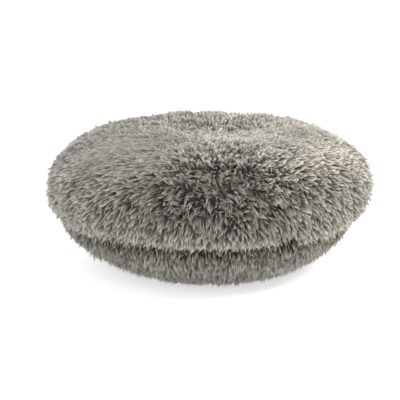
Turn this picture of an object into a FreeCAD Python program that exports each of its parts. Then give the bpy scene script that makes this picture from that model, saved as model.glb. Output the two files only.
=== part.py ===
import FreeCAD, Part
import math
import os

from FreeCAD import Vector

# Round plush cushion bed: a zipped long-pile cover over a filled inner cushion.
# Millimetres and degrees. +Z is up, the cushion is round about Z and stands on z = 0, and the zip
# closes the back, towards +Y.

# The cushion as a whole, over its pile
overall_diameter = 600.0   # at the widest ring
overall_height = 260.0     # floor to the crest of the rim
widest_height = 152.0      # height of the widest ring
crest_radius = 150.0       # radius of the rim's crest, round the shallow hollow
hollow_depth = 6.0         # from the rim's crest down to the middle of the top
foot_radius = 112.0        # edge of the flat patch that rests on the floor
base_fullness = 1.35       # exponent of the base panel's outline: 1 is a cone, 2 an ellipse
tuck_fullness = 3.0        # exponent of the upper panel's fall to the seam: higher stays full for longer

# The cover and its seam
cover_thickness = 18.0     # knitted backing with its pile laid down
seam_height = 104.0        # middle of the seam between the two cover panels
seam_diameter = 540.0      # over the pile's lips at the seam
groove_height = 13.0       # between the two lips
hem_height = 15.0          # turned-in edge of each panel, which the zip is sewn to
binding_depth = 10.0       # sewn seam allowance between the lips, from the hems outwards
thread_radius = 0.6        # half-round line of stitches
running_clearance = 1.5    # pull tab to the end of the sewn seam

# The zip
tape_length = 450.0
tape_width = 14.0          # each half
tape_thickness = 0.6
tape_gap = 1.2             # between the two halves, where the slider's post runs
coil_width = 2.4           # each half, along Z
coil_thickness = 2.4       # radial
stitch_offset = 10.0       # middle of the seam to each row of stitches
stop_length = 2.5
stop_thickness = 0.5
stop_clearance = 0.3       # slider to stop at each end of its travel

# The slider and its pull
slider_length = 11.0
slider_width = 9.5
slider_plate = 1.3
slider_clearance = 0.5     # plates to the chain and the tapes
flange_clearance = 0.35    # flanges to the coils and the tapes
post_width = 0.6
post_length = 4.0
arch_width = 3.0
arch_span = 7.0
arch_bar = 1.2
arch_opening = 2.4
pull_length = 24.0
pull_width = 8.0
pull_thickness = 1.2
pull_arm = 2.0             # width of each arm beside the arch
pull_eye = 7.0             # pivot to the solid part of the tab
pull_hole_diameter = 3.6
pull_tip_radius = 3.2
edge_rounding = 0.4
corner_rounding = 1.6

# The label and the inner cushion
label_length = 60.0
label_height = 27.0
label_thickness = 0.6
liner_clearance = 1.5      # cover to liner
liner_thickness = 1.2
liner_tape_width = 8.0
liner_tape_thickness = 0.6
liner_tape_clearance = 0.1
filling_clearance = 1.0    # liner's seam tape to filling

# Worked out from the sizes above
overall_radius = overall_diameter / 2
lip_radius = seam_diameter / 2
upper_lip = seam_height + groove_height / 2
lower_lip = seam_height - groove_height / 2
hem_radius = lip_radius - cover_thickness
hem_top = upper_lip + hem_height
hem_bottom = lower_lip - hem_height
lip_overhang = overall_radius - lip_radius
crown_rise = overall_height - widest_height
tape_inner_radius = hem_radius - tape_thickness
coil_outer_radius = hem_radius + coil_thickness
plate_outer_radius = coil_outer_radius + slider_clearance + slider_plate
pivot_radius = plate_outer_radius + arch_opening / 2
zip_middle = 90.0
zip_half_angle = math.degrees(tape_length / 2 / hem_radius)
travel_half_angle = zip_half_angle - math.degrees((pull_length + running_clearance) / hem_radius)
stop_offset = math.degrees((slider_length / 2 + stop_clearance + stop_length / 2) / hem_radius)
stop_half_angle = math.degrees(stop_length / 2 / hem_radius)
slider_angle = zip_middle + travel_half_angle
curve_steps = 14


def point(radius, height):
    return Vector(radius, 0, height)


def steps(count):
    return [i / count for i in range(count + 1)]


def spline(points):
    curve = Part.BSplineCurve()
    curve.interpolate([point(*p) for p in points])
    return curve.toShape()


def line(start, end):
    return Part.LineSegment(point(*start), point(*end)).toShape()


def turned(edges, start_angle=0.0, sweep=360.0):
    """Solid made by turning a closed outline, drawn in the XZ plane, about Z."""
    solid = Part.Face(Part.Wire(edges)).revolve(Vector(0, 0, 0), Vector(0, 0, 1), sweep)
    solid.rotate(Vector(0, 0, 0), Vector(0, 0, 1), start_angle)
    return solid


def polygon(corners):
    return [line(a, b) for a, b in zip(corners, corners[1:] + corners[:1])]


def band(inner, outer, bottom, top, start_angle, end_angle):
    """Part of a ring with a rectangular section."""
    corners = [(inner, bottom), (outer, bottom), (outer, top), (inner, top)]
    return turned(polygon(corners), start_angle, end_angle - start_angle)


def half_round(radius, height, outward, start_angle, end_angle):
    """Line of thread lying on a cylindrical face, round on the side away from it."""
    bottom = (radius, height - thread_radius)
    top = (radius, height + thread_radius)
    bulge = (radius + outward * thread_radius, height)
    arc = Part.Arc(point(*bottom), point(*bulge), point(*top)).toShape()
    return turned([arc, line(top, bottom)], start_angle, end_angle - start_angle)


# Outlines. Each takes how far it lies inside the pile's surface.

def crown_outline(inset):
    """Middle of the hollow, over the rim's crest, out to the widest ring."""
    top = overall_height - inset
    hollow = [(crest_radius * s, top - hollow_depth * (1 + math.cos(math.pi * s)) / 2)
              for s in steps(curve_steps)]
    reach = overall_radius - inset - crest_radius
    rise = crown_rise - inset
    shoulder = [(crest_radius + reach * math.sin(math.pi / 2 * s),
                 widest_height + rise * math.cos(math.pi / 2 * s)) for s in steps(curve_steps)]
    return hollow + shoulder[1:]


def tuck_radius(inset, height):
    """Below the widest ring the upper panel draws in to its lip."""
    drop = (widest_height - height) / (widest_height - upper_lip)
    return overall_radius - inset - lip_overhang * drop ** tuck_fullness


def tuck_outline(inset, lowest):
    drop = widest_height - lowest
    heights = [widest_height - drop * s for s in steps(curve_steps)]
    return [(tuck_radius(inset, z), z) for z in heights]


def base_outline(inset, floor, highest):
    """From the base panel's lip, or from a lower height, down to the edge of the flat foot."""
    foot = foot_radius - inset
    reach = lip_radius - foot_radius
    drop = lower_lip - floor
    first = math.asin(((lower_lip - highest) / drop) ** (base_fullness / 2))
    angles = [first + (math.pi / 2 - first) * s for s in steps(curve_steps)]
    return [(foot + reach * abs(math.cos(a)) ** (2 / base_fullness),
             lower_lip - drop * math.sin(a) ** (2 / base_fullness)) for a in angles]


# The cover

def top_cover_panel():
    outer = crown_outline(0) + tuck_outline(0, upper_lip)[1:]
    inner = crown_outline(cover_thickness) + tuck_outline(cover_thickness, hem_top)[1:]
    hem = [outer[-1], (hem_radius, upper_lip), (hem_radius, hem_top), inner[-1]]
    edges = [spline(outer)]
    edges += [line(a, b) for a, b in zip(hem, hem[1:])]
    edges += [spline(inner), line(inner[0], outer[0])]
    return turned(edges)


def base_cover_panel():
    outer = base_outline(0, 0, lower_lip)
    inner = base_outline(cover_thickness, cover_thickness, hem_bottom)
    floor = [outer[-1], (0, 0), (0, cover_thickness), inner[-1]]
    hem = [inner[0], (hem_radius, hem_bottom), (hem_radius, lower_lip), outer[0]]
    edges = [spline(outer)]
    edges += [line(a, b) for a, b in zip(floor, floor[1:])]
    edges += [spline(inner)]
    edges += [line(a, b) for a, b in zip(hem, hem[1:])]
    return turned(edges)


def seam_start():
    return zip_middle + zip_half_angle


def seam_end():
    return zip_middle - zip_half_angle + 360


def seam_binding():
    outer = hem_radius + binding_depth
    return band(hem_radius, outer, lower_lip, upper_lip, seam_start(), seam_end())


def seam_thread():
    return half_round(hem_radius + binding_depth, seam_height, 1, seam_start(), seam_end())


def care_label():
    length = math.degrees(label_length / hem_radius)
    low = seam_height - label_height / 2
    inner = hem_radius - label_thickness
    return band(inner, hem_radius, low, low + label_height, seam_start(), seam_start() + length)


# The zip. Side is 1 for the half above the seam and -1 for the half below it.

def zip_band(inner, outer, near, far, side, half_angle):
    low, high = sorted((seam_height + side * near, seam_height + side * far))
    return band(inner, outer, low, high, zip_middle - half_angle, zip_middle + half_angle)


def zip_tape(side):
    near = tape_gap / 2
    return zip_band(tape_inner_radius, hem_radius, near, groove_height / 2 + tape_width, side,
                    zip_half_angle)


def zip_coil(side):
    near = tape_gap / 2
    return zip_band(hem_radius, coil_outer_radius, near, near + coil_width, side,
                    travel_half_angle + stop_offset + stop_half_angle)


def zip_stitching(side):
    height = seam_height + side * stitch_offset
    return half_round(tape_inner_radius, height, -1, zip_middle - zip_half_angle,
                      zip_middle + zip_half_angle)


def stop_clip(middle_angle, near, far, side):
    """Crimp lying on the outer face of the chain."""
    low, high = sorted((seam_height + side * near, seam_height + side * far))
    outer = coil_outer_radius + stop_thickness
    return band(coil_outer_radius, outer, low, high, middle_angle - stop_half_angle,
                middle_angle + stop_half_angle)


def zip_stop_closed_end():
    """One crimp on each half of the chain, where the slider rests when the zip is shut."""
    angle = slider_angle + stop_offset
    near = tape_gap / 2
    clips = [stop_clip(angle, near, near + coil_width, side) for side in (1, -1)]
    return Part.makeCompound(clips)


def zip_stop_open_end():
    """One crimp across both halves, where the slider rests when the zip is open."""
    reach = tape_gap / 2 + coil_width
    return stop_clip(zip_middle - travel_half_angle - stop_offset, -reach, reach, 1)


# The slider and pull are drawn on the Y axis at the chain's own radius, with X along the chain, away
# from its closed end. The zip is shut, with the slider at the chain's closed end and the pull lying
# back along the chain.

def block(along, out, up):
    corner = Vector(along[0], out[0], up[0])
    return Part.makeBox(along[1] - along[0], out[1] - out[0], up[1] - up[0], corner)


def rounded(solid, direction, radius):
    """Round the edges that run along one direction."""
    chosen = [e for e in solid.Edges if abs(abs(e.tangentAt(e.FirstParameter).dot(direction)) - 1) < 1e-6]
    return solid.makeFillet(radius, chosen)


def at_slider(solid):
    solid.translate(Vector(0, 0, seam_height))
    solid.rotate(Vector(0, 0, 0), Vector(0, 0, 1), slider_angle - 90)
    return solid


def slider_plates():
    half = slider_length / 2
    wide = slider_width / 2
    outer = block((-half, half), (plate_outer_radius - slider_plate, plate_outer_radius), (-wide, wide))
    inner_face = tape_inner_radius - slider_clearance
    inner = block((-half, half), (inner_face - slider_plate, inner_face), (-wide, wide))
    return [rounded(plate, Vector(0, 1, 0), corner_rounding) for plate in (outer, inner)]


def slider_flanges():
    """Edges of the outer plate, turned in beside the coils and stopping short of the tapes."""
    straight = slider_length / 2 - corner_rounding
    inner = tape_gap / 2 + coil_width + flange_clearance
    base = hem_radius + flange_clearance
    top = plate_outer_radius - slider_plate
    bands = [(inner, slider_width / 2), (-slider_width / 2, -inner)]
    return [block((-straight, straight), (base, top), up) for up in bands]


def slider_post():
    low = tape_inner_radius - slider_clearance
    high = plate_outer_radius - slider_plate
    wide = post_width / 2
    start = -slider_length / 2 + corner_rounding
    return block((start, start + post_length), (low, high), (-wide, wide))


def slider_arch():
    half = arch_span / 2
    wide = arch_width / 2
    under = plate_outer_radius + arch_opening
    whole = block((-half, half), (plate_outer_radius, under + arch_bar), (-wide, wide))
    whole = rounded(whole, Vector(0, 0, 1), edge_rounding)
    leg = block((-half, half), (plate_outer_radius, plate_outer_radius + arch_bar), (-wide, wide))
    opening = block((-half + arch_bar, half - arch_bar), (plate_outer_radius, under), (-wide, wide))
    return whole.fuse(leg).cut(opening)


def zip_slider():
    pieces = slider_plates() + slider_flanges() + [slider_post(), slider_arch()]
    body = pieces[0].multiFuse(pieces[1:]).removeSplitter()
    return at_slider(body.Solids[0])


def zip_pull_tab():
    thick = pull_thickness / 2
    out = (pivot_radius - thick, pivot_radius + thick)
    wide = pull_width / 2
    arm_inner = wide - pull_arm
    tab = block((0, pull_length), out, (-wide, wide))
    tip = [e for e in tab.Edges if abs(e.CenterOfMass.x - pull_length) < 1e-6
           and abs(e.tangentAt(e.FirstParameter).y) > 0.9]
    tab = tab.makeFillet(pull_tip_radius, tip)
    tab = tab.cut(block((0, pull_eye), out, (-arm_inner, arm_inner)))
    hole_place = Vector(pull_length - pull_width / 2, out[0], 0)
    hole = Part.makeCylinder(pull_hole_diameter / 2, pull_thickness, hole_place, Vector(0, 1, 0))
    pivot_place = Vector(0, pivot_radius, -wide)
    crossbar = Part.makeCylinder(thick, pull_width, pivot_place, Vector(0, 0, 1))
    return at_slider(tab.cut(hole).fuse(crossbar).removeSplitter().Solids[0])


# The inner cushion: a plain casing, drawn in where the hems press on it, and its filling

def pinch(height):
    """How far the inner cushion is drawn in by the hems at a height."""
    depth = tuck_radius(cover_thickness, hem_top) - hem_radius + liner_clearance
    reach = widest_height - hem_top if height > hem_top else hem_top - hem_bottom
    near = min(abs(height - hem_top) / reach, 1)
    return depth * (1 + math.cos(math.pi * near)) / 2


def inner_top_outline(inset):
    return crown_outline(cover_thickness + inset)


def inner_base_outline(inset, floor):
    """From the widest ring, past the hems, to the edge of the flat foot."""
    upper = tuck_outline(cover_thickness + inset, upper_lip)
    lower = base_outline(cover_thickness + inset, floor, lower_lip)
    return [(r - pinch(z), z) for r, z in upper + lower]


def liner_top_panel():
    outer = inner_top_outline(liner_clearance)
    inner = inner_top_outline(liner_clearance + liner_thickness)
    edges = [spline(outer), line(outer[-1], inner[-1]), spline(inner), line(inner[0], outer[0])]
    return turned(edges)


def liner_base_panel():
    low = cover_thickness
    high = low + liner_thickness
    outer = inner_base_outline(liner_clearance, low)
    inner = inner_base_outline(liner_clearance + liner_thickness, high)
    floor = [outer[-1], (0, low), (0, high), inner[-1]]
    edges = [spline(outer)]
    edges += [line(a, b) for a, b in zip(floor, floor[1:])]
    edges += [spline(inner), line(inner[0], outer[0])]
    return turned(edges)


def wall_radius(inset, height):
    """Radius of the inner cushion near its widest ring, above or below it."""
    if height < widest_height:
        return tuck_radius(cover_thickness + inset, height) - pinch(height)
    climb = (height - widest_height) / (crown_rise - cover_thickness - inset)
    reach = overall_radius - cover_thickness - inset - crest_radius
    return crest_radius + reach * math.sqrt(1 - climb ** 2)


def liner_seam_tape():
    """Tape over the inside of the casing's seam, following its wall."""
    outer_inset = liner_clearance + liner_thickness + liner_tape_clearance
    low = widest_height - liner_tape_width / 2
    heights = [low + liner_tape_width * s for s in steps(curve_steps)]
    outer = [(wall_radius(outer_inset, z), z) for z in heights]
    inner = [(wall_radius(outer_inset + liner_tape_thickness, z), z) for z in heights]
    edges = [spline(outer), line(outer[-1], inner[-1]), spline(inner), line(inner[0], outer[0])]
    return turned(edges)


def fibre_filling():
    tape = liner_tape_clearance + liner_tape_thickness
    inset = liner_clearance + liner_thickness + tape + filling_clearance
    floor = cover_thickness + liner_thickness
    top = inner_top_outline(inset)
    base = inner_base_outline(inset, floor)
    edges = [spline(top + base[1:]), line(base[-1], (0, floor)), line((0, floor), top[0])]
    return turned(edges)


solids = {
    "top_cover_panel": top_cover_panel(),
    "base_cover_panel": base_cover_panel(),
    "seam_binding": seam_binding(),
    "seam_thread": seam_thread(),
    "care_label": care_label(),
    "zip_tape_upper": zip_tape(1),
    "zip_tape_lower": zip_tape(-1),
    "zip_coil_upper": zip_coil(1),
    "zip_coil_lower": zip_coil(-1),
    "zip_stitching_upper": zip_stitching(1),
    "zip_stitching_lower": zip_stitching(-1),
    "zip_stop_closed_end": zip_stop_closed_end(),
    "zip_stop_open_end": zip_stop_open_end(),
    "zip_slider": zip_slider(),
    "zip_pull_tab": zip_pull_tab(),
    "liner_top_panel": liner_top_panel(),
    "liner_base_panel": liner_base_panel(),
    "liner_seam_tape": liner_seam_tape(),
    "fibre_filling": fibre_filling(),
}

os.makedirs("parts", exist_ok=True)
for name, solid in solids.items():
    solid.exportStep(f"parts/{name}.step")
    print(f"{name}: {len(solid.Solids)} solid(s), {solid.Volume / 1000:.2f} cm3, valid {solid.isValid()}")
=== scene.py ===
import math

import bmesh
import bpy
import numpy as np
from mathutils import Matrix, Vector, kdtree


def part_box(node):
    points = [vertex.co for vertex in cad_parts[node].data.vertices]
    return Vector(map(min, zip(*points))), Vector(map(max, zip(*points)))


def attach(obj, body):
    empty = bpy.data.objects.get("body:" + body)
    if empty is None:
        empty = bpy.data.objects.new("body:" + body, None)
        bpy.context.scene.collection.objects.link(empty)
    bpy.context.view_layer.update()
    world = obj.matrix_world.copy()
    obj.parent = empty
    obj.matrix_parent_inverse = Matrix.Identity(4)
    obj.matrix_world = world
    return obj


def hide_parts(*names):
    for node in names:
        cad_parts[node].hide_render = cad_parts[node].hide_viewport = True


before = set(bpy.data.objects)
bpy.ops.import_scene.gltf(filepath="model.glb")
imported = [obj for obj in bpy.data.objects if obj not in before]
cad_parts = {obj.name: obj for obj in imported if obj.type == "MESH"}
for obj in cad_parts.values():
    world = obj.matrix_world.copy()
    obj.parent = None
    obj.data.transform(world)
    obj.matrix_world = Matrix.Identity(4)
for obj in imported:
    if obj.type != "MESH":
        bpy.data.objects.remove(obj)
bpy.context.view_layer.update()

# Round plush cushion bed, in metres. The cover's two panels are backing fabric, each a thin closed
# shell, with a long pile of separate locks growing out of it.

SEED = 6
AROUND = 160                  # columns of the grid that every round surface is drawn on
ROW_SPACING = 0.006           # rows of the same grid, on the cover
LINER_ROW_SPACING = 0.009     # and inside it
TINY = 1e-9

# From the frame
top_low, top_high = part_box("top_cover_panel")
base_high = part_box("base_cover_panel")[1]
WIDEST_RADIUS = top_high.x
CREST_HEIGHT = top_high.z
UPPER_LIP = top_low.z
LOWER_LIP = base_high.z
LIP_RADIUS = base_high.x
SEAM_HEIGHT = (UPPER_LIP + LOWER_LIP) / 2

# The cushion's own form, over its pile
WIDEST_HEIGHT = 0.152
CREST_RADIUS = 0.150
HOLLOW_DEPTH = 0.006
TUCK_FULLNESS = 3.0
FOOT_RADIUS = 0.112
BASE_FULLNESS = 1.35
HOLLOW_STEPS = 16             # points along each stretch of the outlines
SHOULDER_STEPS = 22
TUCK_STEPS = 12
BASE_STEPS = 22
FLOOR_STEPS = 8

# The lumps that the filling makes in it
LUMP_LENGTH = 0.22
LUMP_SIDEWAYS = 0.0035
LUMP_UPWARDS = 0.004
SMALL_LUMP_LENGTH = 0.085
SMALL_LUMP = 0.0015
LUMPS_START = 0.02            # height under which there are none
LUMPS_HELD = 0.016            # how far from the seam it holds them down
LUMPS_INNER_RADIUS = 0.12     # inside it their sideways part fades out

# The cover
PILE_DEPTH = 0.015            # backing to the laid pile's surface
FOOT_PILE_DEPTH = 0.007       # where the cushion's weight presses it
BACKING = 0.002
SEAM_TUCK = 0.0025            # how far each backing turns in at the seam
SEAM_PLY = 0.0015             # middle of the sewn seam to each panel
SEAM_WANDER = 0.002
SEAM_WANDER_LENGTH = 0.16
SEAM_RISE = 0.007             # drawn up at the front by the filling
SEAM_PULL = 0.012             # how far from its lip a panel bends to meet the seam
ALLOWANCE_SET_BACK = 0.0005   # inside the backing's edge
ALLOWANCE_DEPTH = 0.006
ALLOWANCE_PLY = 0.0012
ALLOWANCE_STEPS = 119         # lengths that it is made of, round the seam
RECESS = (0.124, -0.220, SEAM_HEIGHT + 0.008)
RECESS_REACH = (0.016, 0.016, 0.008)
RECESS_DEPTH = 0.012          # of the radius

# The filling pushes one side out further, low down
BULGE = (-0.25, -0.06, 0.085)
BULGE_REACH = (0.12, 0.13, 0.05)
BULGE_DEPTH = 0.011

# How far the filled cover's cloth moves, from its outline
CLOTH_FRAMES = 20
CLOTH_PRESSURE = 4.0
CLOTH_SLACK = 0.015
CLOTH_HELD_RADIUS = 0.06      # held inside this radius
CLOTH_HELD_HEIGHT = FOOT_PILE_DEPTH + 0.0005
CLOTH_START = 0.0035          # the cloth starts this much inside its outline
CLOTH_OUT = 0.004             # the most that it may end outside, inside and beside its outline
CLOTH_IN = 0.001
CLOTH_SIDEWAYS = 0.001

# The zip
tape_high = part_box("zip_tape_upper")[1]
coil_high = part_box("zip_coil_upper")[1]
TAPE_RADIUS = tape_high.y
ZIP_HALF_ANGLE = math.degrees(math.asin(tape_high.x / TAPE_RADIUS))
COIL_RADIUS = coil_high.y
CHAIN_HALF_ANGLE = math.degrees(math.asin(coil_high.x / COIL_RADIUS))
CHAIN_REACH = coil_high.z - SEAM_HEIGHT
TOOTH_PITCH = 0.0018
TOOTH_WIDTH = 0.0011
TOOTH_DEPTH = 2.0             # times its width
TOOTH_SET_BACK = 1.1          # times its width, from the coil's face
TOOTH_INNER = 0.00035         # middle of the chain to the tip of a tooth
STITCH_LENGTH = 0.0032
STITCH_PITCH = 0.0042
STITCH_RADIUS = 0.0005
TAPE_STITCH_HEIGHT = 0.010    # from the middle of the zip
SEAM_STITCH_SET_BACK = 0.0002
ZIP_PARTING = 0.0068          # middle of the zip to the pile combed back from it
ZIP_BLEND = 5                 # degrees over which the zip's edge gives way to the sewn seam
SEAM_START = 6                # degrees from each end of the zip to the sewn seam's parts
SEAM_FIRST = ZIP_HALF_ANGLE + SEAM_START
SEAM_LAST = 360 - SEAM_START - ZIP_HALF_ANGLE

# The inner cushion, inside the cover's pile and backing
COVER_THICKNESS = 0.018
LINER_CLEARANCE = 0.0015
LINER_THICKNESS = 0.0012
FILLING_CLEARANCE = 0.0017
HEM_DEPTH = 0.015             # height of the hem at each lip
HEM_INNER_RADIUS = 0.2        # the hems are outside this
FLAT_HEIGHT = 0.008           # over the cover's underside, where the inner cushion lies flat

# The pile. A lock is a line of points, with rings of three corners round all but its tip
RINGS = 3
TAPER = np.array([0.85, 1.0, 0.62])
LOCK_LENGTH = 0.021
LENGTH_RANGE = (0.75, 1.15)
LOCK_WIDTH = 0.00105          # half its widest
WIDTH_RANGE = (0.6, 1.25)
LOCK_FLATNESS = 0.7           # thickness over width
LOCK_SPACING = 0.0021
CLUMP_SPACING = 0.0046
CLUMP_SPREAD = 0.2            # how far apart a clump's locks stay, of their spacing
TOP_SECTORS = 14              # pieces of each panel's pile
BASE_SECTORS = 6
GROUND_GAP = 0.0004           # the lowest lock over the ground
UNRULY = 0.12                 # scatter of a lock's direction
CLUMP_UNRULY = 0.24           # and of a whole clump's
SWIRL_LENGTH = 0.10           # slow swirls, small ones, and the curl of single locks
FINE_LENGTH = 0.035
CURL_LENGTH = 0.02
SWIRL = 0.28
FINE = 0.2
CURL = 0.16
CURL_SCATTER = 0.1
SHADE_LENGTH = 0.12           # slow changes of the pile's shade
SHADE_CHANGE = 0.14
CLUMP_SHADE = 0.8             # range of shade among the clumps, and scatter among locks
LOCK_SHADE = 0.1
RUFFLED_PAINTED_SHADE = 0.22          # painted shade: how much darker the pile is painted where it is ruffled, for the shade deep among its upright locks
LIP_REACH = 0.014             # where the seam draws the pile in
CROWN = (0.03, -0.245, 0.205)  # the place that the upper pile lies away from
CROWN_REACH = 0.13

# Where the pile stands ruffled, where it has been stroked smooth, and where it parts at the seam.
# Each patch is its middle and its reach
RUFFLED = [((0.03, -0.255, 0.195), (0.12, 0.07, 0.05))]
STROKED = [((-0.15, -0.13, 0.245), (0.12, 0.10, 0.035)), ((0.14, -0.06, 0.255), (0.11, 0.12, 0.03))]
PARTED = [((0.129, -0.230, SEAM_HEIGHT + 0.006), (0.017, 0.017, 0.0075))]
PARTED_THINNING = 3

# Each panel's pile: its side of the seam, how much it lies away from the crown, its lean down the
# cushion, its droop, its bend down the cushion, how far it gathers into clumps, its length, its further
# lean at the seam and at the zip, and its shade from dark (0) to light (1)
TOP_STYLE = dict(side=1, crown=1, lean=0.9, droop=0.16, lay=0.10, gather=0.85, length=1.0,
                 lip=-0.5, zip=-1.9, shade=0.5)
# The base panel's pile is painted darker than the top's: painted shade for the underside, away from the
# light
BASE_STYLE = dict(side=-1, crown=0, lean=0.7, droop=0.16, lay=0.25, gather=0.8, length=0.95,
                  lip=-1.3, zip=1.8, shade=0.19)

# The studio
FLOOR_SIZE = 30
FLOOR_SHADE = (0.62, 0.62, 0.62, 1)
FLOOR_GLOW = 0.6              # keeps the ground white beside the soft shadow
SKY_STRENGTH = 1.25
CAMERA_ELEVATION = 14.0
CAMERA_DISTANCE = 2.5
CAMERA_TARGET = Vector((-0.018, 0, 0.120))
SENSOR_WIDTH = 36
VIEW_WIDTH = 0.748            # across the frame, at the cushion


def steps(count):
    """From 0 to 1 in even steps."""
    return np.linspace(0, 1, count + 1)


def waves(points, length, seed, count=10):
    """Smooth noise about -1 to 1, made of plane waves in random directions."""
    turn = np.random.default_rng(seed)
    ways = turn.normal(size=(count, 3))
    ways /= np.linalg.norm(ways, axis=1)[:, None]
    lengths = length * turn.uniform(0.7, 1.5, count)
    phases = turn.uniform(0, 2 * math.pi, count)
    total = np.sin(points @ (ways / lengths[:, None]).T * 2 * math.pi + phases).sum(1)
    return total / math.sqrt(count / 2) / 2


# Outlines, as rows of radius and height from the middle of the top to the middle of the base

def crown_outline(inset):
    s = steps(HOLLOW_STEPS)
    hollow = np.stack([CREST_RADIUS * s,
                       CREST_HEIGHT - inset - HOLLOW_DEPTH * (1 + np.cos(math.pi * s)) / 2], 1)
    reach = WIDEST_RADIUS - inset - CREST_RADIUS
    rise = CREST_HEIGHT - inset - WIDEST_HEIGHT
    turn = math.pi / 2 * steps(SHOULDER_STEPS)[1:]
    shoulder = np.stack([CREST_RADIUS + reach * np.sin(turn), WIDEST_HEIGHT + rise * np.cos(turn)], 1)
    return np.vstack([hollow, shoulder])


def tuck_outline(inset, lowest):
    drop = steps(TUCK_STEPS)[1:]
    radius = WIDEST_RADIUS - inset - (WIDEST_RADIUS - LIP_RADIUS) * drop ** TUCK_FULLNESS
    return np.stack([radius, WIDEST_HEIGHT - (WIDEST_HEIGHT - lowest) * drop], 1)


def base_outline(inset, floor, highest):
    turn = math.pi / 2 * steps(BASE_STEPS)
    foot = FOOT_RADIUS - inset
    reach = LIP_RADIUS - FOOT_RADIUS
    radius = foot + reach * np.cos(turn).clip(0) ** (2 / BASE_FULLNESS)
    height = highest - (highest - floor) * np.sin(turn) ** (2 / BASE_FULLNESS)
    flat = foot * (1 - steps(FLOOR_STEPS)[1:])
    return np.vstack([np.stack([radius, height], 1), np.stack([flat, flat * 0 + floor], 1)])


def even(outline, spacing):
    """The same outline with rows an even distance apart."""
    length = np.concatenate([[0], np.linalg.norm(np.diff(outline, axis=0), axis=1).cumsum()])
    places = np.linspace(0, length[-1], max(4, int(length[-1] / spacing)) + 1)
    return np.stack([np.interp(places, length, outline[:, i]) for i in (0, 1)], 1)


def turned(outline):
    """Grid of points, one row to each point of the outline."""
    angle = np.arange(AROUND) / AROUND * 2 * math.pi
    grid = np.empty((len(outline), AROUND, 3))
    grid[..., 0] = outline[:, :1] * np.cos(angle)
    grid[..., 1] = outline[:, :1] * np.sin(angle)
    grid[..., 2] = outline[:, 1:]
    return grid


def sagged(grid):
    """The uneven form that the filling gives the cushion."""
    x, y, z = grid[..., 0], grid[..., 1], grid[..., 2]
    flat = grid.reshape(-1, 3)
    lumps = waves(flat * [1, 1, 0.6], LUMP_LENGTH, seed=11).reshape(x.shape)
    small = waves(flat, SMALL_LUMP_LENGTH, seed=12).reshape(x.shape)
    radius = np.hypot(x, y) / WIDEST_RADIUS
    level = ((z - LUMPS_START) / (CREST_HEIGHT - LUMPS_START)).clip(0, 1)
    held = np.exp(-((z - SEAM_HEIGHT) / LUMPS_HELD) ** 2) * (radius > 0.8)
    free = (1 - held) * (level > 0)
    out = grid.copy()
    swell = (LUMP_SIDEWAYS * lumps + SMALL_LUMP * small) * free
    scale = 1 + swell / np.maximum(np.hypot(x, y), LUMPS_INNER_RADIUS) * radius
    out[..., 0] = x * scale
    out[..., 1] = y * scale
    out[..., 2] = z + (LUMP_UPWARDS * lumps + SMALL_LUMP * small) * level ** 2 * (1 - radius ** 4) * free
    return out


def off_the_zip(grid):
    """From 0 along the zip to 1 round the rest of the seam."""
    turn = np.abs(np.degrees(np.arctan2(grid[..., 0], grid[..., 1])))
    return ((turn - ZIP_HALF_ANGLE) / ZIP_BLEND).clip(0, 1)


def seam_line(points):
    """Height of the sewn seam over its nominal height, at places round it."""
    front = (-points[:, 1] / LIP_RADIUS).clip(0, 1)
    wander = waves(points * [1, 1, 0], SEAM_WANDER_LENGTH, seed=13)
    return wander * SEAM_WANDER + SEAM_RISE * front ** 3


def near(points, patches):
    """From 0, away from the patches, to 1, in the middle of one. A patch is its middle and its reach."""
    gaps = [np.linalg.norm((points - middle) / reach, axis=-1) for middle, reach in patches]
    return np.exp(-np.min(gaps, axis=0) ** 2)


def bulged(points):
    """Points moved out to one side with the bulge, except along the zip."""
    out = points.copy()
    out[..., 0] -= BULGE_DEPTH * near(points, [(BULGE, BULGE_REACH)]) * off_the_zip(points)
    return out


def drawn_together(grid, lip):
    """Away from the zip the two panels meet, in a seam that wanders and is drawn in at one place."""
    x, y, z = grid[..., 0], grid[..., 1], grid[..., 2]
    outer = np.hypot(x, y) > 0.8 * LIP_RADIUS
    close = np.exp(-np.abs(z - lip) / SEAM_PULL) * outer * off_the_zip(grid)
    line = seam_line(grid.reshape(-1, 3)).reshape(x.shape)
    out = grid.copy()
    out[..., 2] += close * (SEAM_HEIGHT - lip - math.copysign(SEAM_PLY, SEAM_HEIGHT - lip) + line)
    out[..., :2] *= 1 - RECESS_DEPTH * near(out, [(RECESS, RECESS_REACH)])[..., None]
    return bulged(out)


def grid_normals(grid):
    """Directions out of the surface, straight up or down where a row is a single point."""
    down = np.gradient(grid, axis=0)
    around = np.roll(grid, -1, 1) - np.roll(grid, 1, 1)
    normal = np.cross(down, around)
    size = np.linalg.norm(normal, axis=2, keepdims=True)
    normal = np.divide(normal, size, out=np.zeros_like(normal), where=size > 1e-12)
    for row in (0, -1):
        if size[row].max() < TINY:
            normal[row] = [0, 0, 1 if row == 0 else -1]
    return normal


def new_mesh(name, points, corners, counts):
    """Mesh from its points and the flat list of each face's corners."""
    mesh = bpy.data.meshes.new(name)
    mesh.vertices.add(len(points))
    mesh.vertices.foreach_set("co", np.ascontiguousarray(points, np.float32).ravel())
    mesh.loops.add(len(corners))
    mesh.loops.foreach_set("vertex_index", np.ascontiguousarray(corners, np.int32))
    mesh.polygons.add(len(counts))
    starts = np.concatenate([[0], np.cumsum(counts)[:-1]])
    mesh.polygons.foreach_set("loop_start", starts.astype(np.int32))
    mesh.polygons.foreach_set("use_smooth", np.ones(len(counts), bool))
    mesh.update(calc_edges=True)
    return mesh


def new_piece(name, mesh, material, body="cushion"):
    piece = bpy.data.objects.new(name, mesh)
    bpy.context.scene.collection.objects.link(piece)
    mesh.materials.append(material)
    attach(piece, body)
    return piece


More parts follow.
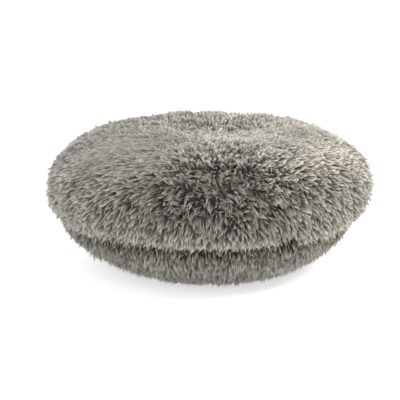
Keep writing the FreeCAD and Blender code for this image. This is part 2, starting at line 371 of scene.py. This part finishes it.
def grid_mesh(name, grid):
    """Mesh of quads between the rows of a grid."""
    rows = len(grid)
    row, column = np.meshgrid(np.arange(rows - 1), np.arange(AROUND), indexing="ij")
    after = (column + 1) % AROUND
    quad = np.stack([row * AROUND + column, (row + 1) * AROUND + column,
                     (row + 1) * AROUND + after, row * AROUND + after], -1)
    return new_mesh(name, grid.reshape(-1, 3), quad.ravel(), np.full((rows - 1) * AROUND, 4))


def loft(name, grid, material):
    """Closed piece from rows whose first and last are single points, or that close on themselves."""
    piece = new_piece(name, grid_mesh(name, grid), material)
    weld(piece)
    return piece


def weld(piece, distance=1e-6):
    """Points in one place become one, faces without area go, and the rest face outwards."""
    work = bmesh.new()
    work.from_mesh(piece.data)
    bmesh.ops.remove_doubles(work, verts=work.verts, dist=distance)
    bmesh.ops.dissolve_degenerate(work, edges=work.edges, dist=distance)
    bmesh.ops.recalc_face_normals(work, faces=work.faces)
    work.to_mesh(piece.data)
    work.free()
    piece.data.polygons.foreach_set("use_smooth", np.ones(len(piece.data.polygons), bool))


# Materials

BANDS_TURN = 20               # radians that a wave texture's bands turn through in each unit of length


def grey(level):
    return (level, level, level)


def node_material(name, roughness):
    material = bpy.data.materials.new(name)
    material.use_nodes = True
    shader = material.node_tree.nodes["Principled BSDF"]
    shader.inputs["Roughness"].default_value = roughness
    return material, material.node_tree, shader


def add(tree, kind, **values):
    node = tree.nodes.new(kind)
    for key, value in values.items():
        setattr(node, key, value)
    return node


def ramp(tree, source, stops):
    """Colours in place of a value: each stop is a place from 0 to 1 and its colour."""
    node = add(tree, "ShaderNodeValToRGB")
    tree.links.new(source, node.inputs[0])
    while len(node.color_ramp.elements) < len(stops):
        node.color_ramp.elements.new(0.5)
    for element, (place, colour) in zip(node.color_ramp.elements, stops):
        element.position = place
        element.color = (*colour, 1)
    return node.outputs[0]


def pile_material():
    """Dark roots, painted shade for the depth of the pile, and pale tips. Each lock's shade comes from its
    place on the map, across, with painted shade where the pile is ruffled and on the base panel.
    """
    material, tree, shader = node_material("plush_pile", 0.75)
    place = add(tree, "ShaderNodeUVMap", uv_map="OFBake")
    split = add(tree, "ShaderNodeSeparateXYZ")
    tree.links.new(place.outputs[0], split.inputs[0])
    # Painted shade: the nearly black roots stand in for the shade deep among the locks
    along = ramp(tree, split.outputs[1], [
        (0.0, (0.008, 0.007, 0.005)), (0.45, (0.062, 0.058, 0.047)),
        (0.77, (0.35, 0.329, 0.280)), (1.0, (0.90, 0.858, 0.760))])
    shade = ramp(tree, split.outputs[0], [
        (0.0, (0.42, 0.42, 0.40)), (0.5, grey(0.88)), (1.0, grey(1.25))])
    mix = add(tree, "ShaderNodeMix", data_type="RGBA", blend_type="MULTIPLY")
    mix.inputs["Factor"].default_value = 1
    tree.links.new(along, mix.inputs["A"])
    tree.links.new(shade, mix.inputs["B"])
    tree.links.new(mix.outputs["Result"], shader.inputs["Base Color"])
    shader.inputs["Specular IOR Level"].default_value = 0.2
    shader.inputs["Sheen Weight"].default_value = 0.25
    shader.inputs["Sheen Roughness"].default_value = 0.4
    return material


def bump(tree, shader, height, strength, distance):
    node = add(tree, "ShaderNodeBump")
    node.inputs["Strength"].default_value = strength
    node.inputs["Distance"].default_value = distance
    tree.links.new(height, node.inputs["Height"])
    tree.links.new(node.outputs[0], shader.inputs["Normal"])


def noise(tree, place, scale, detail=3.0):
    node = add(tree, "ShaderNodeTexNoise")
    node.inputs["Scale"].default_value = scale
    node.inputs["Detail"].default_value = detail
    tree.links.new(place, node.inputs["Vector"])
    return node.outputs[0]


def cloth_material(name, dark, light, fineness, roughness=0.85):
    """Plain weave: two crossing sets of threads, 2 pi / fineness apart, with slow changes of shade."""
    material, tree, shader = node_material(name, roughness)
    place = add(tree, "ShaderNodeTexCoord").outputs["Object"]
    sets = []
    for direction in ("X", "Z"):
        wave = add(tree, "ShaderNodeTexWave", bands_direction=direction)
        wave.inputs["Scale"].default_value = fineness / BANDS_TURN
        wave.inputs["Distortion"].default_value = 0.6
        wave.inputs["Detail"].default_value = 1
        tree.links.new(place, wave.inputs["Vector"])
        sets.append(wave.outputs["Fac"])
    weave = add(tree, "ShaderNodeMath", operation="MAXIMUM")
    tree.links.new(sets[0], weave.inputs[0])
    tree.links.new(sets[1], weave.inputs[1])
    slow = add(tree, "ShaderNodeMath", operation="MULTIPLY")
    tree.links.new(weave.outputs[0], slow.inputs[0])
    wear = ramp(tree, noise(tree, place, scale=30), [(0.3, grey(0.75)), (0.7, grey(1.0))])
    tree.links.new(wear, slow.inputs[1])
    colour = ramp(tree, slow.outputs[0], [(0.2, dark), (0.9, light)])
    tree.links.new(colour, shader.inputs["Base Color"])
    bump(tree, shader, weave.outputs[0], strength=0.5, distance=0.0003)
    shader.inputs["Sheen Weight"].default_value = 0.2
    return material


def fibre_material():
    material, tree, shader = node_material("polyester_fibre", 0.95)
    place = add(tree, "ShaderNodeTexCoord").outputs["Object"]
    tufts = noise(tree, place, scale=90, detail=6.0)
    colour = ramp(tree, tufts, [(0.35, (0.66, 0.66, 0.65)), (0.65, (0.88, 0.88, 0.87))])
    tree.links.new(colour, shader.inputs["Base Color"])
    bump(tree, shader, tufts, strength=0.8, distance=0.003)
    return material


def metal_material():
    """Pale satin paint over cast zinc, rubbed a little in patches."""
    material, tree, shader = node_material("zip_painted_zinc", 0.4)
    place = add(tree, "ShaderNodeTexCoord").outputs["Object"]
    wear = noise(tree, place, scale=900, detail=4.0)
    colour = ramp(tree, wear, [(0.4, (0.42, 0.41, 0.39)), (0.75, (0.62, 0.61, 0.58))])
    tree.links.new(colour, shader.inputs["Base Color"])
    rough = ramp(tree, wear, [(0.3, grey(0.32)), (0.8, grey(0.5))])
    tree.links.new(rough, shader.inputs["Roughness"])
    shader.inputs["Metallic"].default_value = 0.6
    bump(tree, shader, wear, strength=0.15, distance=0.0001)
    return material


def plastic_material():
    material, tree, shader = node_material("nylon_coil", 0.45)
    place = add(tree, "ShaderNodeTexCoord").outputs["Object"]
    speckle = noise(tree, place, scale=300)
    colour = ramp(tree, speckle, [(0.3, (0.30, 0.29, 0.265)), (0.7, (0.42, 0.405, 0.375))])
    tree.links.new(colour, shader.inputs["Base Color"])
    return material


PILE = pile_material()
# Painted shade: the backing is nearly black, for the shade at the foot of the pile, where it shows between
# clumps and where the pile parts at the seam
BACKING_CLOTH = cloth_material("plush_backing", (0.025, 0.023, 0.019), (0.07, 0.065, 0.056), 900)
BINDING_CLOTH = cloth_material("seam_cloth", (0.05, 0.047, 0.04), (0.13, 0.12, 0.105), 1200)
TAPE_CLOTH = cloth_material("zip_tape_weave", (0.20, 0.19, 0.17), (0.38, 0.365, 0.335), 1600)
LINER_CLOTH = cloth_material("liner_cotton", (0.50, 0.49, 0.46), (0.74, 0.73, 0.70), 1400)
LABEL_CLOTH = cloth_material("label_satin", (0.60, 0.59, 0.56), (0.80, 0.79, 0.76), 2400, roughness=0.5)
THREAD = cloth_material("sewing_thread", (0.11, 0.105, 0.092), (0.26, 0.25, 0.225), 3000, roughness=0.6)
FIBRE = fibre_material()
METAL = metal_material()
NYLON = plastic_material()


# The cover's backing

def cloth_settings(modifier):
    modifier.settings.quality = 6
    modifier.settings.mass = 0.3
    modifier.settings.tension_stiffness = 12
    modifier.settings.compression_stiffness = 12
    modifier.settings.shear_stiffness = 5
    modifier.settings.bending_stiffness = 0.4
    modifier.settings.air_damping = 2
    modifier.settings.shrink_min = -CLOTH_SLACK
    modifier.settings.use_pressure = True
    modifier.settings.uniform_pressure_force = CLOTH_PRESSURE
    modifier.settings.effector_weights.gravity = 0
    modifier.settings.vertex_group_mass = "held"


def smoothed(values, passes=3):
    """Values on a grid, each averaged with its neighbours; the first and last rows stay."""
    for _ in range(passes):
        around = (np.roll(values, 1, 1) + np.roll(values, -1, 1)) / 2
        values = values.copy()
        values[1:-1] = (values[1:-1] + around[1:-1] + (around[:-2] + around[2:]) / 2) / 3
    return values


def filled_out(name, grid):
    """The panel as slack cloth, held at its seam and its flat middle and pressed out by the filling."""
    radius = np.hypot(grid[..., 0], grid[..., 1]).mean(1)
    loose = np.flatnonzero((radius > CLOTH_HELD_RADIUS) & (grid[..., 2].min(1) > CLOTH_HELD_HEIGHT))
    first, last = loose[0], loose[-1] + 1
    rows = last - first
    normal = grid_normals(grid)[first:last]
    start = CLOTH_START * np.sin(math.pi * steps(rows - 1))[:, None, None]
    band = grid[first:last] - normal * start
    mesh = grid_mesh(name, band)
    cloth = bpy.data.objects.new(name, mesh)
    bpy.context.scene.collection.objects.link(cloth)
    held = cloth.vertex_groups.new(name="held")
    for row in (0, rows - 1):
        held.add(list(range(row * AROUND, (row + 1) * AROUND)), 1.0, "REPLACE")
    cloth_settings(cloth.modifiers.new("cloth", "CLOTH"))
    for frame_number in range(1, CLOTH_FRAMES + 1):
        bpy.context.scene.frame_set(frame_number)
    ended = cloth.evaluated_get(bpy.context.evaluated_depsgraph_get()).to_mesh()
    points = np.empty(rows * AROUND * 3, np.float32)
    ended.vertices.foreach_get("co", points)
    bpy.data.objects.remove(cloth)
    bpy.data.meshes.remove(mesh)
    bpy.context.scene.frame_set(1)
    moved = points.reshape(rows, AROUND, 3) - band
    out = (moved * normal).sum(2, keepdims=True)
    side = moved - out * normal
    side *= np.minimum(1, CLOTH_SIDEWAYS / np.maximum(np.linalg.norm(side, axis=2, keepdims=True), TINY))
    result = grid.copy()
    result[first:last] += smoothed((out - start).clip(-CLOTH_IN, CLOTH_OUT)) * normal + smoothed(side)
    return result


def panel_grid(name, outline, lip):
    """A panel's backing, filled out, from its outline's rows."""
    return filled_out(name, drawn_together(sagged(turned(even(outline, ROW_SPACING))), lip))


def open_edge(grid):
    """The row at a panel's open edge: its last, where the grid starts in the middle, or its first."""
    return -1 if np.hypot(*grid[0, 0, :2]) < 1e-6 else 0


def backing(name, grid, thickness, node):
    """Thin closed shell inside a grid, which turns in by the seam's tuck along its open edge."""
    edge = open_edge(grid)
    rim = grid[edge]
    middle = np.hypot(rim[:, 0], rim[:, 1])[:, None]
    turned_in = rim * [1, 1, 0] * (1 - SEAM_TUCK / middle) + rim * [0, 0, 1]
    inner = grid - grid_normals(grid) * thickness
    inner_edge = turned_in + [0, 0, thickness if edge else -thickness]
    inner[edge] = inner_edge + (rim - turned_in) * 0.5
    if edge:
        rows = [grid, turned_in[None], inner_edge[None], inner[::-1]]
    else:
        rows = [inner[::-1], inner_edge[None], turned_in[None], grid]
    piece = loft(name, np.concatenate(rows), BACKING_CLOTH)
    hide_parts(node)


# The pile

def unit(vectors):
    return vectors / np.maximum(np.linalg.norm(vectors, axis=-1, keepdims=True), TINY)


class Coat:
    """A grid that locks of pile grow from, read at any place along and around it."""

    def __init__(self, grid):
        self.grid = grid
        self.normal = grid_normals(grid)
        down = np.gradient(grid, axis=0)
        self.down = unit(down)
        middle = grid.mean(1)
        radius = np.hypot(grid[..., 0], grid[..., 1]).mean(1)
        steps_down = np.hypot(np.diff(radius), np.diff(middle[:, 2]))
        self.length = np.concatenate([[0], steps_down.cumsum()])
        self.radius = radius

    def scatter(self, spacing, draw):
        """Evenly spread places, as distance along and part of a turn around."""
        along, around = [], []
        for place in np.arange(spacing / 2, self.length[-1], spacing):
            radius = np.interp(place, self.length, self.radius)
            count = max(3, int(2 * math.pi * radius / spacing))
            around.append((np.arange(count) + draw.uniform(0, 1, count)) / count)
            along.append(place + draw.uniform(-0.6, 0.6, count) * spacing)
        return np.concatenate(along).clip(0, self.length[-1]), np.concatenate(around) % 1

    def read(self, values, along, around):
        """Values of the grid between its points."""
        row = np.interp(along, self.length, np.arange(len(self.length)))
        low = np.minimum(row.astype(int), len(self.length) - 2)
        part = (row - low)[:, None]
        turn = around * AROUND
        left = turn.astype(int) % AROUND
        side = (turn - turn.astype(int))[:, None]
        right = (left + 1) % AROUND
        upper = values[low, left] * (1 - side) + values[low, right] * side
        lower = values[low + 1, left] * (1 - side) + values[low + 1, right] * side
        return upper * (1 - part) + lower * part


def lock_lines(root, normal, flow, length, droop, curl):
    """Middle lines of the locks: out of the backing, over with the flow, and down."""
    t = steps(RINGS)[None, :, None]
    start = unit(normal + flow)
    line = root[:, None] + length[:, None, None] * t * start[:, None]
    line += length[:, None, None] * t ** 2 * (droop + curl)[:, None]
    return line


def lock_mesh(name, lines, width, shade, roll):
    """Closed, tapered, three-sided locks in one mesh, each shaded by its own place on the map."""
    count = len(lines)
    along = unit(np.gradient(lines, axis=1))
    side = unit(np.cross(along, np.stack([np.cos(roll), np.sin(roll), 0.3 + 0 * roll], 1)[:, None]))
    other = np.cross(along, side)
    rings = []
    for corner in range(3):
        angle = 2 * math.pi * corner / 3
        offset = side * math.cos(angle) + other * math.sin(angle) * LOCK_FLATNESS
        rings.append(lines[:, :RINGS] + offset[:, :RINGS] * (width[:, None] * TAPER)[..., None])
    rings = np.stack(rings, 2).reshape(count, RINGS * 3, 3)
    points = np.concatenate([rings, lines[:, RINGS:RINGS + 1]], 1)
    points[..., 2] = np.maximum(points[..., 2], GROUND_GAP)
    per = RINGS * 3 + 1
    sides = [[r * 3 + c, r * 3 + (c + 1) % 3, r * 3 + 3 + (c + 1) % 3, r * 3 + 3 + c]
             for r in range(RINGS - 1) for c in range(3)]
    last = (RINGS - 1) * 3
    ends = [[last + c, last + (c + 1) % 3, per - 1] for c in range(3)] + [[2, 1, 0]]
    pattern = np.array(sum(sides + ends, []))
    corners = (np.arange(count)[:, None] * per + pattern).ravel()
    counts = np.tile([4] * len(sides) + [3] * len(ends), count)
    mesh = new_mesh(name, points.reshape(-1, 3), corners, counts)
    # On the map a lock stands upright at its shade, and is wide enough that no face is a line
    height = np.concatenate([np.repeat(np.arange(RINGS) / RINGS, 3), [1.0]])
    across = np.concatenate([np.tile([-0.4, 0, 0.4], RINGS), [0]]) / 256
    uv = np.empty((count, len(pattern), 2))
    uv[..., 0] = (shade[:, None] * 0.96 + 0.02 + across[pattern]).clip(0, 1)
    uv[..., 1] = height[pattern]
    layer = mesh.uv_layers.new(name="OFBake")
    layer.data.foreach_set("uv", uv.astype(np.float32).ravel())
    return mesh


def combed_clear(lines, side):
    """Beside the zip, the locks above it (side 1) and below it (side -1) stay out of the slider's way."""
    edge = SEAM_HEIGHT + side * ZIP_PARTING
    over = ((lines[..., 2] - edge) * side).clip(None, 0) * (off_the_zip(lines) < 0.5)
    lines[..., 2] -= over * side


def grow(coat, name, spacing, sectors, draw, style):
    """Pile over a whole panel, in sectors that are one piece each."""
    centre_along, centre_around = coat.scatter(CLUMP_SPACING, draw)
    along, around = coat.scatter(spacing, draw)
    centres = coat.read(coat.grid, centre_along, centre_around)
    tree = kdtree.KDTree(len(centres))
    for i, p in enumerate(centres):
        tree.insert(p, i)
    tree.balance()
    root = coat.read(coat.grid, along, around)
    owner = np.array([tree.find(p)[1] for p in root])
    own = lines_at(coat, along, around, draw, style, UNRULY)
    lead = lines_at(coat, centre_along, centre_around, draw, style, CLUMP_UNRULY)[owner]
    t = steps(RINGS)[None, :, None]
    gather = style["gather"] * t ** 1.3 * (1 - 0.5 * near(root, STROKED))[:, None, None]
    spread = (own[:, :1] - lead[:, :1]) * CLUMP_SPREAD
    lines = own * (1 - gather) + (lead + spread) * gather
    combed_clear(lines, style["side"])
    width = LOCK_WIDTH * draw.uniform(*WIDTH_RANGE, len(lines))
    clump_shade = draw.uniform(0, 1, len(centres))[owner]
    # Painted shade: the ruffled patch is painted darker, for the shade deep among its upright locks; the
    # slow waves are the pile's own random tone
    broad_tone_and_painted_shade = waves(root, SHADE_LENGTH, seed=31) * SHADE_CHANGE - RUFFLED_PAINTED_SHADE * near(root, RUFFLED)
    scatter = draw.normal(0, LOCK_SHADE, len(lines))
    shade = style["shade"] + CLUMP_SHADE * (clump_shade - 0.5) + scatter + broad_tone_and_painted_shade
    shade = shade.clip(0, 1)
    roll = draw.uniform(0, 2 * math.pi, len(lines))
    sector = (around * sectors).astype(int) % sectors
    grows = draw.uniform(0, 1, len(lines)) > near(lines, PARTED).max(1) * PARTED_THINNING
    for i in range(sectors):
        chosen = (sector == i) & grows
        piece_name = f"{name}_{i + 1:02d}"
        mesh = lock_mesh(piece_name, lines[chosen], width[chosen], shade[chosen], roll[chosen])
        new_piece(piece_name, mesh, PILE)


def lines_at(coat, along, around, draw, style, unruly):
    """Middle lines of the locks that grow at places on a coat. Where the pile is ruffled they scatter and
    curl more, and where it is stroked they lie down and scatter less."""
    root = coat.read(coat.grid, along, around)
    ruffled = near(root, RUFFLED)[:, None]
    stroked = near(root, STROKED)[:, None]
    unruly = unruly * (1 + 1.6 * ruffled) * (1 - 0.75 * stroked)
    normal = unit(coat.read(coat.normal, along, around))
    down = unit(coat.read(coat.down, along, around))
    across = np.cross(normal, down)
    count = len(root)
    swirl = np.stack([waves(root, SWIRL_LENGTH, 41 + i) for i in range(3)], 1)
    fine = np.stack([waves(root, FINE_LENGTH, 51 + i) for i in range(3)], 1)
    radius = np.hypot(root[:, 0], root[:, 1]) / WIDEST_RADIUS
    settled = (radius / 0.6).clip(0.25, 1)[:, None]
    away = root - CROWN
    away -= normal * (away * normal).sum(1, keepdims=True)
    distance = np.maximum(np.linalg.norm(away, axis=1), TINY)[:, None]
    away *= style["crown"] * np.minimum(1 / CROWN_REACH, 1 / distance)
    course = down * settled * (1 - style["crown"] * normal[:, 2:].clip(0, 1)) + away
    course /= np.maximum(1, np.linalg.norm(course, axis=1))[:, None]
    flow = course * style["lean"] * (1 + 1.4 * stroked) + swirl * SWIRL * (1 - 0.3 * stroked)
    flow += fine * (FINE + 0.9 * ruffled) * (1 - 0.85 * stroked)
    flow += across * draw.normal(0, 1, (count, 1)) * unruly + down * draw.normal(0, 1, (count, 1)) * unruly
    curl = np.stack([waves(root, CURL_LENGTH, 61 + i) for i in range(3)], 1) * (CURL + 0.35 * ruffled)
    curl = (curl + draw.normal(0, CURL_SCATTER, (count, 3))) * (1 - 0.6 * stroked)
    lip = np.exp(-np.abs(root[:, 2] - SEAM_HEIGHT) / LIP_REACH)[:, None] * (radius > 0.75)[:, None]
    zipped = lip * (1 - off_the_zip(root))[:, None]
    flow += down * style["lip"] * lip + normal * 0.5 * lip + down * style["zip"] * zipped
    droop = np.array([0, 0, -style["droop"]]) + down * style["lay"] * (1 - zipped)
    length = LOCK_LENGTH * style["length"] * draw.uniform(*LENGTH_RANGE, count)
    length *= (1 - 0.25 * lip[:, 0]) * (1 - 0.45 * zipped[:, 0])
    return lock_lines(root, normal, flow, length, droop, curl)


# Small repeated parts round the seam

def place_copies(name, shape, faces, radius, angles, heights, material):
    """One mesh of copies of a small shape, given as along, out and up, each set at its angle."""
    angles, heights = np.asarray(angles), np.asarray(heights)
    out = np.stack([np.sin(angles), np.cos(angles), 0 * angles], 1)[:, None]
    along = np.stack([np.cos(angles), -np.sin(angles), 0 * angles], 1)[:, None]
    points = along * shape[None, :, :1] + out * (radius + shape[None, :, 1:2])
    points[..., 2] = heights[:, None] + shape[None, :, 2]
    points = bulged(points)
    corners = sum(faces, [])
    index = (np.arange(len(angles))[:, None] * len(shape) + corners).ravel()
    counts = np.tile([len(face) for face in faces], len(angles))
    return new_piece(name, new_mesh(name, points.reshape(-1, 3), index, counts), material)


def capsule(half_length, radius, axis, sides=6):
    """Short rod with pinched ends, lying along one axis."""
    places = [(-1.0, 0.45), (-0.8, 1.0), (0.8, 1.0), (1.0, 0.45)]
    turn = np.arange(sides) / sides * 2 * math.pi
    rings = [np.stack([0 * turn + half_length * place, radius * width * np.cos(turn),
                       radius * width * np.sin(turn)], 1) for place, width in places]
    points = np.concatenate(rings)
    points = np.roll(points, {"along": 0, "out": 1, "up": 2}[axis], axis=1)
    faces = [[r * sides + c, r * sides + (c + 1) % sides,
              (r + 1) * sides + (c + 1) % sides, (r + 1) * sides + c]
             for r in range(len(places) - 1) for c in range(sides)]
    last = (len(places) - 1) * sides
    faces += [list(range(sides))[::-1], list(range(last, last + sides))]
    return points, faces


def zip_teeth(side):
    """The turns of one coil, each a rounded bar that stops just short of the middle of the chain."""
    middle = (CHAIN_REACH + TOOTH_INNER) / 2
    shape, faces = capsule((CHAIN_REACH - TOOTH_INNER) / 2, TOOTH_WIDTH / 2, "up")
    shape = shape * [1, TOOTH_DEPTH, 1]
    reach = math.radians(CHAIN_HALF_ANGLE) - TOOTH_PITCH / COIL_RADIUS
    count = int(2 * reach * COIL_RADIUS / TOOTH_PITCH)
    angles = -reach + (np.arange(count) + (0.5 if side > 0 else 0)) / count * 2 * reach
    half = "upper" if side > 0 else "lower"
    piece = place_copies(f"coil_turns_{half}", shape, faces, COIL_RADIUS - TOOTH_WIDTH * TOOTH_SET_BACK,
                         angles, np.full(count, SEAM_HEIGHT + side * middle), NYLON)
    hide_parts(f"zip_coil_{half}")


def stitches(name, node, radius, height, first, last, sewn=0):
    """Row of stitches between two angles, in degrees from +Y towards +X. If sewn is 1 it follows the
    seam's own line."""
    shape, faces = capsule(STITCH_LENGTH / 2, STITCH_RADIUS, "along")
    count = int(math.radians(last - first) * radius / STITCH_PITCH)
    angles = np.radians(first) + (np.arange(count) + 0.5) / count * math.radians(last - first)
    middles = np.stack([np.sin(angles) * radius, np.cos(angles) * radius, 0 * angles], 1)
    heights = height + seam_line(middles) * sewn
    piece = place_copies(name, shape, faces, radius, angles, heights, THREAD)
    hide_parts(node)


def seam_allowance():
    """The two plies of the sewn seam, turned in between the panels, away from the zip."""
    outer = LIP_RADIUS - PILE_DEPTH - ALLOWANCE_SET_BACK
    inner = outer - ALLOWANCE_DEPTH
    count = ALLOWANCE_STEPS + 1
    angles = np.radians(np.linspace(SEAM_FIRST, SEAM_LAST, count))
    ring = [(outer, ALLOWANCE_PLY), (outer, -ALLOWANCE_PLY),
            (inner, -ALLOWANCE_PLY), (inner, ALLOWANCE_PLY)]
    points = np.empty((count, 4, 3))
    for i, (radius, height) in enumerate(ring):
        points[:, i, 0] = np.sin(angles) * radius
        points[:, i, 1] = np.cos(angles) * radius
        points[:, i, 2] = SEAM_HEIGHT + height
    points[..., 2] += seam_line(points[:, 0])[:, None]
    points = bulged(points)
    faces = [[a * 4 + c, a * 4 + (c + 1) % 4, a * 4 + 4 + (c + 1) % 4, a * 4 + 4 + c]
             for a in range(count - 1) for c in range(4)]
    faces += [[3, 2, 1, 0], [count * 4 - 4, count * 4 - 3, count * 4 - 2, count * 4 - 1]]
    mesh = new_mesh("seam_allowance", points.reshape(-1, 3), sum(faces, []), [4] * len(faces))
    piece = new_piece("seam_allowance", mesh, BINDING_CLOTH)
    mesh.polygons.foreach_set("use_smooth", np.zeros(len(faces), bool))
    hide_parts("seam_binding")


# The inner cushion

def pinch(height):
    """How far the hems draw the inner cushion in at a height."""
    hem_top = UPPER_LIP + HEM_DEPTH
    hem_bottom = LOWER_LIP - HEM_DEPTH
    drop = (WIDEST_HEIGHT - hem_top) / (WIDEST_HEIGHT - UPPER_LIP)
    hem_radius = WIDEST_RADIUS - (WIDEST_RADIUS - LIP_RADIUS) * drop ** TUCK_FULLNESS
    depth = hem_radius - LIP_RADIUS + LINER_CLEARANCE
    reach = np.where(height > hem_top, WIDEST_HEIGHT - hem_top, hem_top - hem_bottom)
    return depth * (1 + np.cos(math.pi * (np.abs(height - hem_top) / reach).clip(0, 1))) / 2


def inner_outlines(inset, floor):
    """Top and base outlines of something inside the cover, at an inset from the pile's surface."""
    base = np.vstack([[[WIDEST_RADIUS - inset, WIDEST_HEIGHT]], tuck_outline(inset, UPPER_LIP),
                      base_outline(inset, floor, LOWER_LIP)])
    base[:, 0] -= pinch(base[:, 1]) * (base[:, 0] > HEM_INNER_RADIUS)
    return crown_outline(inset), base


def gathered(grid, amount, length, seed):
    """Slack cloth or loose fibre: dips inwards, never out."""
    dips = (1 + waves(grid.reshape(-1, 3), length, seed).reshape(grid.shape[:2])).clip(0, 2) / 2
    loose = grid[..., 2] > COVER_THICKNESS + FLAT_HEIGHT
    return grid - grid_normals(grid) * (amount * dips * loose)[..., None]


def casing_panel(name, grid, thickness, node):
    """Thin casing panel whose edge is at the cushion's widest ring."""
    inner = grid - grid_normals(grid) * thickness
    rows = [grid, inner[::-1]] if open_edge(grid) else [inner[::-1], grid]
    piece = loft(name, np.concatenate(rows), LINER_CLOTH)
    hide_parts(node)


def inner_cushion():
    """The cotton casing's two panels and the loose filling in them."""
    casing = COVER_THICKNESS + LINER_CLEARANCE
    for half, outline in zip(("top", "base"), inner_outlines(casing, COVER_THICKNESS)):
        grid = gathered(turned(even(outline, LINER_ROW_SPACING)), amount=0.0008, length=0.05, seed=21)
        casing_panel(f"liner_{half}_casing", grid, LINER_THICKNESS, f"liner_{half}_panel")
    inside = casing + LINER_THICKNESS + FILLING_CLEARANCE
    top, base = inner_outlines(inside, COVER_THICKNESS + LINER_THICKNESS)
    outline = even(np.vstack([top, base[1:]]), LINER_ROW_SPACING)
    grid = gathered(turned(outline), amount=0.003, length=0.03, seed=22)
    filling = loft("fibre_batt", grid, FIBRE)
    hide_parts("fibre_filling")


def repaint(materials):
    """Looks of the pieces that keep their own shape."""
    for name, material in materials.items():
        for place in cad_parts[name].material_slots:
            place.material = material


def zip_and_seam():
    for half, side in (("upper", 1), ("lower", -1)):
        zip_teeth(side)
        stitches(f"tape_stitches_{half}", f"zip_stitching_{half}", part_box(f"zip_stitching_{half}")[1].y,
                 SEAM_HEIGHT + side * TAPE_STITCH_HEIGHT, -ZIP_HALF_ANGLE, ZIP_HALF_ANGLE)
    stitches("seam_stitches", "seam_thread", LIP_RADIUS - PILE_DEPTH - SEAM_STITCH_SET_BACK, SEAM_HEIGHT,
             SEAM_FIRST, SEAM_LAST, sewn=1)
    seam_allowance()


def cover(top, base):
    """The two backing panels and their pile, which draws on one run of random numbers."""
    draw = np.random.default_rng(SEED)
    backing("top_cover_backing", top, BACKING, "top_cover_panel")
    backing("base_cover_backing", base, BACKING, "base_cover_panel")
    grow(Coat(top), "pile_top", LOCK_SPACING, TOP_SECTORS, draw, TOP_STYLE)
    grow(Coat(base), "pile_base", LOCK_SPACING, BASE_SECTORS, draw, BASE_STYLE)


# Floor, light and camera

def ground():
    """Plain pale floor, with a glow of its own."""
    mesh = bpy.data.meshes.new("floor")
    half = FLOOR_SIZE / 2
    mesh.from_pydata([(-half, -half, 0), (half, -half, 0), (half, half, 0), (-half, half, 0)], [],
                     [(0, 1, 2, 3)])
    floor = bpy.data.objects.new("floor", mesh)
    bpy.context.scene.collection.objects.link(floor)
    material, tree, shader = node_material("floor", 0.9)
    shader.inputs["Base Color"].default_value = FLOOR_SHADE
    shader.inputs["Specular IOR Level"].default_value = 0.0
    shader.inputs["Emission Color"].default_value = (1, 1, 1, 1)
    shader.inputs["Emission Strength"].default_value = FLOOR_GLOW
    mesh.materials.append(material)


def area_light(name, place, size, power, colour, target=(0, 0, 0.12)):
    """Round soft light that points at the target."""
    data = bpy.data.lights.new(name, "AREA")
    data.shape = "DISK"
    data.size = size
    data.energy = power
    data.color = colour
    light = bpy.data.objects.new(name, data)
    bpy.context.scene.collection.objects.link(light)
    light.location = place
    light.rotation_mode = "QUATERNION"
    light.rotation_quaternion = (Vector(target) - Vector(place)).to_track_quat("-Z", "Y")


def studio():
    world = bpy.data.worlds.new("studio")
    bpy.context.scene.world = world
    world.use_nodes = True
    background = world.node_tree.nodes["Background"]
    background.inputs[0].default_value = (1.0, 1.0, 1.0, 1)
    background.inputs[1].default_value = SKY_STRENGTH
    bpy.context.scene.view_settings.view_transform = "Standard"
    ground()
    area_light("key", (1.6, -0.6, 2.0), size=1.2, power=75, colour=(1.0, 0.975, 0.94))
    area_light("fill", (-1.8, -1.2, 1.2), size=1.6, power=12, colour=(0.80, 0.91, 1.0))


def camera():
    data = bpy.data.cameras.new("camera")
    data.sensor_width = SENSOR_WIDTH
    data.lens = data.sensor_width * CAMERA_DISTANCE / VIEW_WIDTH
    eye = bpy.data.objects.new("camera", data)
    bpy.context.scene.collection.objects.link(eye)
    lift = math.radians(CAMERA_ELEVATION)
    back = Vector((0, -math.cos(lift), math.sin(lift)))
    eye.location = CAMERA_TARGET + back * CAMERA_DISTANCE
    eye.rotation_mode = "QUATERNION"
    eye.rotation_quaternion = (-back).to_track_quat("-Z", "Y")
    bpy.context.scene.camera = eye


top_rows = np.vstack([crown_outline(PILE_DEPTH), tuck_outline(PILE_DEPTH, UPPER_LIP + BACKING)])
base_rows = base_outline(PILE_DEPTH, FOOT_PILE_DEPTH, LOWER_LIP - BACKING)
top_grid = panel_grid("top_cloth", top_rows, UPPER_LIP + BACKING)
base_grid = panel_grid("base_cloth", base_rows, LOWER_LIP - BACKING)
zip_and_seam()
inner_cushion()
repaint({"zip_tape_upper": TAPE_CLOTH, "zip_tape_lower": TAPE_CLOTH,
         "zip_slider": METAL, "zip_pull_tab": METAL,
         "zip_stop_closed_end": METAL, "zip_stop_open_end": METAL,
         "care_label": LABEL_CLOTH, "liner_seam_tape": LINER_CLOTH})
cover(top_grid, base_grid)
studio()
camera()
